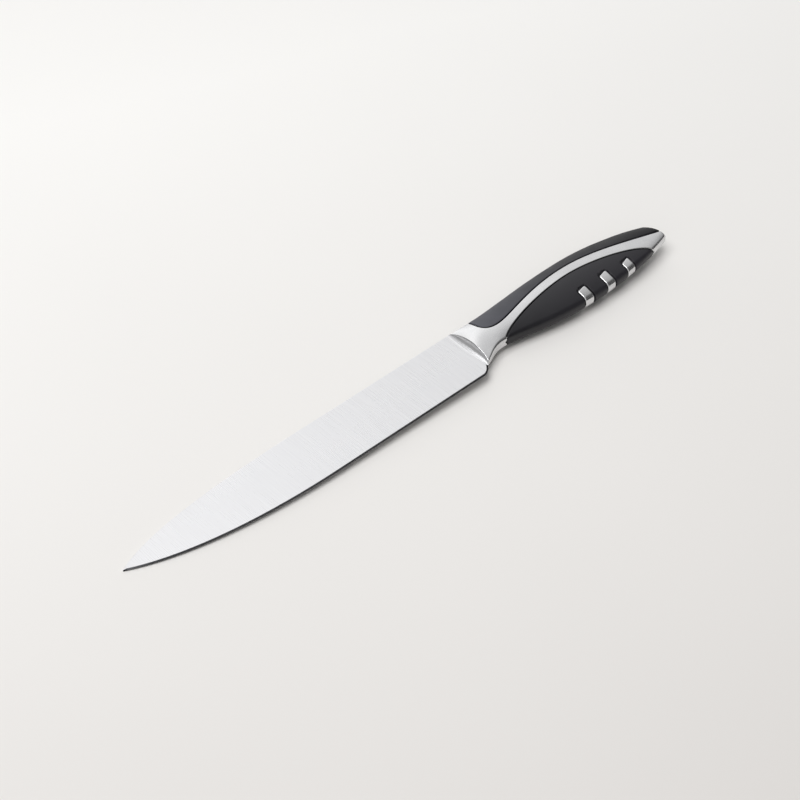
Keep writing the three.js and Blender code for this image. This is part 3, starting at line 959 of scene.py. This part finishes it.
def blade():
    # rows lie closer together towards the tip
    s = np.linspace(0, 1, BLADE_ROWS)
    x = -BLADE_LENGTH + (BLADE_LENGTH + HEEL_X) * (0.35 * s**2 + 0.65 * s)
    heel_rows = np.linspace(-HEEL_REACH, HEEL_X, HEEL_ROWS)
    tip_rows = np.linspace(-BLADE_LENGTH, -BLADE_LENGTH + TIP_REACH, TIP_ROWS)
    x = np.unique(np.concatenate([x, heel_rows, tip_rows]))
    low, high = along(BLADE_EDGE, x), along(BLADE_SPINE, x)
    tall = high - low
    rise = np.minimum(BEVEL, tall * BEVEL_SHARE)
    r = np.minimum(SPINE_ROUND, tall * SPINE_ROUND_SHARE)
    c = np.linspace(0, 1, BLADE_COLS)
    a = np.linspace(0, math.pi / 2, SPINE_ROUND_COLS)[1:]
    y_flat = (low + rise)[:, None] + (tall - rise - r)[:, None] * c[None, :]
    y_round = (high - r)[:, None] + r[:, None] * np.sin(a)[None, :]
    y = np.concatenate([low[:, None], y_flat, y_round], axis=1)
    no_cut = np.zeros((len(x), 1 + len(c)))
    cut = np.concatenate([no_cut, r[:, None] * (1 - np.cos(a))[None, :]], axis=1)

    # the hollow shoulder leaves the blade's side smoothly and gets steep at the ridge
    y_end = np.clip(y[-1], HEEL_Y, BLADE_TOP_Y)
    end = ridge(y_end)
    top = handle_half(end, y_end)
    start = HOLLOW_FOOT - HOLLOW_REACH * ((end - RIDGE_X) / RIDGE_BULGE)
    fade = np.clip((x + HEEL_REACH) / (HEEL_REACH + HEEL_X), 0, 1) ** 2
    xs = x[:, None] + fade[:, None] * (start - HEEL_X)[None, :]
    z = blade_half(xs, y) - cut
    z[:, 0] = LAND
    rows = [np.stack([xs, y, z], axis=-1)]
    foot = z[-1]
    for t in np.linspace(0, HOLLOW_STEEP, HOLLOW_ROWS)[1:]:
        run = (end - start) * math.sin(t) / math.sin(HOLLOW_STEEP)
        climb = (top - foot) * (1 - math.cos(t)) / (1 - math.cos(HOLLOW_STEEP))
        rows.append(np.stack([start + run, y[-1], foot + climb], axis=-1)[None])
    p = np.concatenate(rows)

    skin = Skin()
    skin.both(p)
    skin.across(p[:, -1], BLADE_WRAP_STEPS, flip=True)
    skin.across(p[:, 0], BLADE_WRAP_STEPS)
    skin.across(p[-1], BLADE_WRAP_STEPS)
    skin.across(p[0], BLADE_WRAP_STEPS, flip=True)
    made = piece(
        "blade_piece", skin, BLADE_STEEL, "blade", shell=0, crease=BLADE_CREASE
    )

    # the faces under the bevel's upper line get the near-black colour, a painted shade along the
    # edge
    made.data.materials.append(BEVEL_PAINTED_SHADE)
    line = to_row(np.column_stack([xs[:, 1], y[:, 1], z[:, 1]]))
    for face in made.data.polygons:
        middle = face.center
        if middle.x < line[-1, 0] and middle.y < along(line, middle.x):
            face.material_index = 1


belly_grip()
spine_grip()
handle_frame()
for node, middle, end_y in BANDS:
    band(node, middle, end_y)
blade()

for node in ("front_tang_pin", "rear_tang_pin"):
    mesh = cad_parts[node].data
    mesh.materials.clear()
    mesh.materials.append(PIN_STEEL)

# Camera, floor and light

ELEVATION = math.radians(42)
YAW = math.radians(42.77)
DISTANCE = 0.9878
FOCAL_PX = 2167.7
IMAGE_PX = 800
SENSOR = 36
CLIP_END = 50
LOOK_AT = Vector((-0.0059, 0.00188, 0.0))
RIGHT = Vector((math.cos(YAW), -math.sin(YAW), 0))
AWAY = Vector((math.sin(YAW), math.cos(YAW), 0))
ZENITH = Vector((0, 0, 1))
FORWARD = AWAY * math.cos(ELEVATION) - ZENITH * math.sin(ELEVATION)
UP = AWAY * math.sin(ELEVATION) + ZENITH * math.cos(ELEVATION)

FLOOR_REACH = 8.0
# The floor's near and far colours: the darker near side and the paler far side are painted light
FLOOR_NEAR = (0.68, 0.658, 0.637)
FLOOR_FAR = (0.925, 0.915, 0.895)
# The direction in which the floor is painted paler, a painted fall-off of light that is brightest
# towards the far left, and how far on either side of the middle it runs
FLOOR_FADE = AWAY * 0.92 - RIGHT * 0.4
FLOOR_FADE_REACH = 0.3

# The sky's level from right to left, as (side, level), and its share from near to far
SKY = 1.45
SKY_SIDE = Vector((0, 0, 0.35)) - RIGHT
SIDE_LEVELS = [
    (-0.66, 0.10), (-0.48, 0.18), (-0.32, 0.46), (-0.2, 0.73), (-0.1, 0.79), (0.01, 0.80),
    (0.11, 0.83), (0.20, 0.88), (0.26, 0.95), (0.32, 1.13), (0.37, 1.49), (0.41, 1.32),
    (0.46, 1.15), (0.52, 0.88), (0.62, 0.56), (0.75, 0.50), (0.9, 0.46), (1.0, 0.42),
]
DEPTH_SHARES = [
    (-1.0, 0.80), (-0.55, 0.80), (-0.32, 0.34), (0.0, 0.30), (0.10, 0.36), (0.17, 0.48),
    (0.25, 0.66), (0.33, 0.83), (0.40, 0.94), (0.5, 1.0),
]

LAMP_POWER = 31
LAMP_SIZE = 1.6
LAMP_AT = -AWAY * 0.42 - RIGHT * 0.52 + Vector((0, 0, 1.9))


def set_camera(scene):
    data = bpy.data.cameras.new("camera")
    data.sensor_width = SENSOR
    data.lens = FOCAL_PX / IMAGE_PX * SENSOR
    data.clip_end = CLIP_END
    camera = bpy.data.objects.new("camera", data)
    scene.collection.objects.link(camera)
    turn = Matrix((RIGHT, UP, -FORWARD)).transposed().to_4x4()
    camera.matrix_world = Matrix.Translation(LOOK_AT - FORWARD * DISTANCE) @ turn
    scene.camera = camera


def lay_floor(scene):
    mesh = bpy.data.meshes.new("floor")
    r = FLOOR_REACH
    mesh.from_pydata([(-r, -r, 0), (r, -r, 0), (r, r, 0), (-r, r, 0)], [], [(0, 1, 2, 3)])
    floor = bpy.data.objects.new("floor", mesh)
    scene.collection.objects.link(floor)
    n = Nodes("floor")
    cloud = n.noise((3, 3, 3), detail=2)
    # the floor is painted paler along FLOOR_FADE, a painted fall-off of light
    where = n.add("ShaderNodeTexCoord").outputs["Object"]
    far = n.add("ShaderNodeVectorMath", {0: where, 1: FLOOR_FADE}, operation="DOT_PRODUCT")
    share = n.span(far.outputs["Value"], 0, 1, -FLOOR_FADE_REACH, FLOOR_FADE_REACH)
    colour = n.ramp(n.mix(share, cloud, 0.15), [(0.1, FLOOR_NEAR), (0.9, FLOOR_FAR)])
    mesh.materials.append(n.out(colour, 0.7))


def sky_ramp(tree, direction, axis, stops):
    """Grey levels by how far a direction of the sky points along an axis."""
    along_axis = tree.nodes.new("ShaderNodeVectorMath")
    along_axis.operation = "DOT_PRODUCT"
    along_axis.inputs[1].default_value = axis
    share = tree.nodes.new("ShaderNodeMapRange")
    share.inputs["From Min"].default_value = -1.0
    share.inputs["From Max"].default_value = 1.0
    ramp = tree.nodes.new("ShaderNodeValToRGB")
    fill_ramp(ramp.color_ramp, [((s + 1) / 2, (level,) * 3) for s, level in stops])
    tree.links.new(direction, along_axis.inputs[0])
    tree.links.new(along_axis.outputs["Value"], share.inputs["Value"])
    tree.links.new(share.outputs["Result"], ramp.inputs["Fac"])
    return ramp.outputs["Color"]


def light_sky(scene):
    world = bpy.data.worlds.new("world")
    scene.world = world
    world.use_nodes = True
    tree = world.node_tree
    back = tree.nodes["Background"]
    direction = tree.nodes.new("ShaderNodeTexCoord").outputs["Generated"]
    side_stops = [(side, level / SKY) for side, level in SIDE_LEVELS]
    tree.links.new(sky_ramp(tree, direction, SKY_SIDE, side_stops), back.inputs["Color"])
    strength = tree.nodes.new("ShaderNodeMapRange")
    strength.inputs["To Max"].default_value = SKY
    tree.links.new(sky_ramp(tree, direction, AWAY, DEPTH_SHARES), strength.inputs["Value"])
    tree.links.new(strength.outputs["Result"], back.inputs["Strength"])


def hang_lamp(scene):
    data = bpy.data.lights.new("top", "AREA")
    data.shape = "RECTANGLE"
    data.size = data.size_y = LAMP_SIZE
    data.energy = LAMP_POWER
    lamp = bpy.data.objects.new("top", data)
    scene.collection.objects.link(lamp)
    lamp.location = LAMP_AT
    lamp.rotation_euler = (-LAMP_AT).to_track_quat("-Z", "Y").to_euler()


def studio():
    scene = bpy.context.scene
    set_camera(scene)
    lay_floor(scene)
    light_sky(scene)
    hang_lamp(scene)
    scene.view_settings.view_transform = "Standard"


studio()
